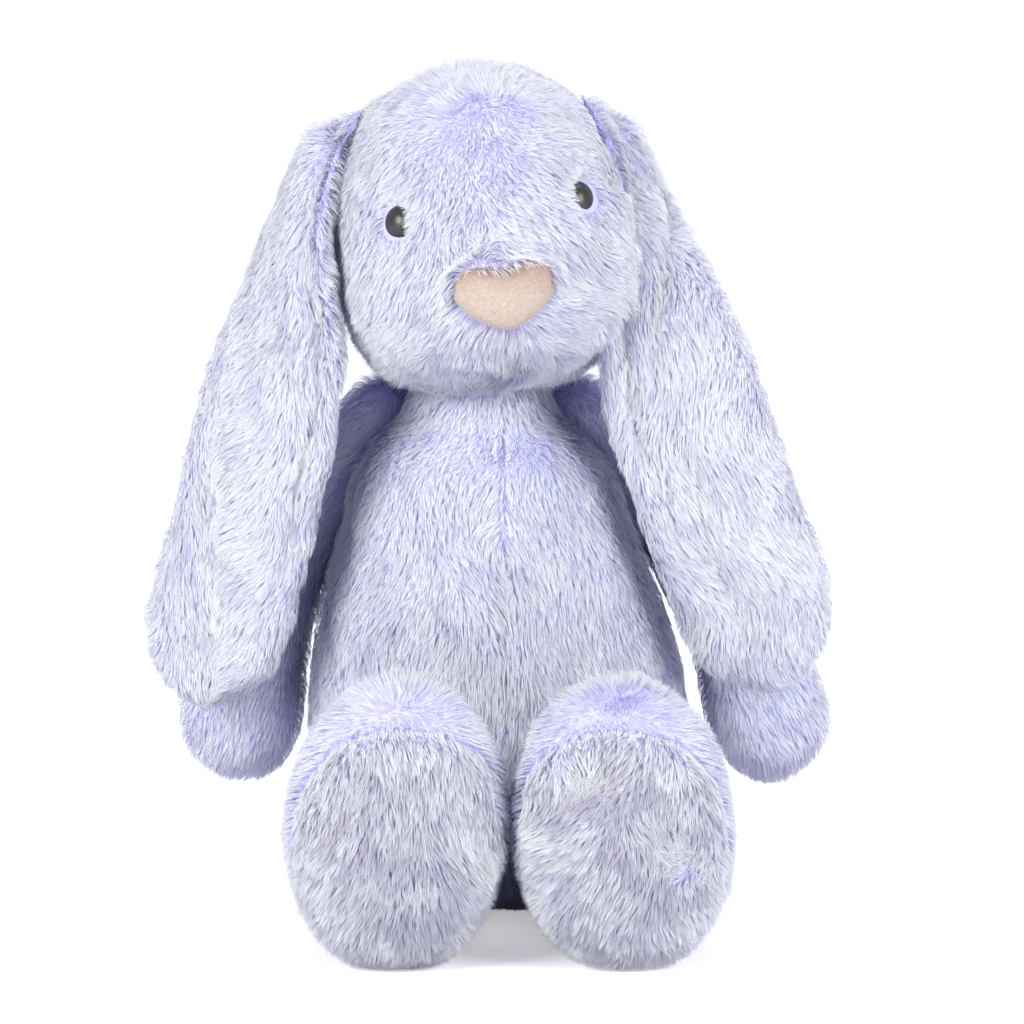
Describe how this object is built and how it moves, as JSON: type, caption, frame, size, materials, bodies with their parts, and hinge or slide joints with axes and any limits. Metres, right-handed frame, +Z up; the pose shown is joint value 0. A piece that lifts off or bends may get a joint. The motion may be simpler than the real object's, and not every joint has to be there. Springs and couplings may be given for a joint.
{
  "type": "stuffed rabbit",
  "caption": "Sitting long-eared plush rabbit with filled head, body, arms and legs, safety eyes, padded suede nose and a round tail.",
  "frame": {"origin": "on the floor below the middle of the seat, between the two hip joints", "axes": "+Z up, the rabbit faces -Y, and its left side is at +X"},
  "size_m": [0.3724, 0.3698, 0.4562],
  "materials": {
    "plush": "long soft pile",
    "suede": "short nap suede",
    "eye_plastic": "glossy black",
    "washer_plastic": "plain moulded",
    "fibre_filling": "loose polyester fibre",
    "pellet_bag": "plain woven bag of pellets"
  },
  "bodies": {
    "torso": {"torso_cover": "plush", "torso_filling": "fibre_filling", "seat_bean_bag": "pellet_bag", "tail_cover": "plush", "tail_filling": "fibre_filling"},
    "head": {"head_cover": "plush", "head_filling": "fibre_filling", "nose": "suede", "left_eye": "eye_plastic", "right_eye": "eye_plastic", "left_eye_washer": "washer_plastic", "right_eye_washer": "washer_plastic"},
    "left_ear": {"left_ear_front": "plush", "left_ear_back": "plush"},
    "left_arm": {"left_arm_cover": "plush", "left_arm_filling": "fibre_filling", "left_paw_bean_bag": "pellet_bag"},
    "left_leg": {"left_leg_cover": "plush", "left_leg_filling": "fibre_filling", "left_foot_sole": "plush", "left_foot_bean_bag": "pellet_bag"},
    "right_ear": {"right_ear_front": "plush", "right_ear_back": "plush"},
    "right_arm": {"right_arm_cover": "plush", "right_arm_filling": "fibre_filling", "right_paw_bean_bag": "pellet_bag"},
    "right_leg": {"right_leg_cover": "plush", "right_leg_filling": "fibre_filling", "right_foot_sole": "plush", "right_foot_bean_bag": "pellet_bag"}
  },
  "joints": [
    {"name": "head_tilt", "type": "hinge", "parent": "torso", "child": "head", "pos_m": [-0.017, -0.002, 0.275], "axis": [0, 1, 0], "range_deg": [-2.5, 4]},
    {"name": "left_ear_lift", "type": "hinge", "parent": "head", "child": "left_ear", "pos_m": [0.03879, -0.00457, 0.43655], "axis": [0, -1, 0], "range_deg": [0, 95]},
    {"name": "right_ear_lift", "type": "hinge", "parent": "head", "child": "right_ear", "pos_m": [-0.07794, -0.01477, 0.43026], "axis": [0, 1, 0], "range_deg": [0, 95]},
    {"name": "left_arm_raise", "type": "hinge", "parent": "torso", "child": "left_arm", "pos_m": [0.03693, 0.02, 0.26], "axis": [0, -1, 0], "range_deg": [0, 60]},
    {"name": "right_arm_raise", "type": "hinge", "parent": "torso", "child": "right_arm", "pos_m": [-0.06907, 0.02, 0.26], "axis": [0, 1, 0], "range_deg": [0, 60]},
    {"name": "left_leg_lift", "type": "hinge", "parent": "torso", "child": "left_leg", "pos_m": [0.059, -0.042, 0.049], "axis": [-1, 0, 0], "range_deg": [0, 35]},
    {"name": "right_leg_lift", "type": "hinge", "parent": "torso", "child": "right_leg", "pos_m": [-0.059, -0.042, 0.049], "axis": [-1, 0, 0], "range_deg": [0, 35]}
  ]
}
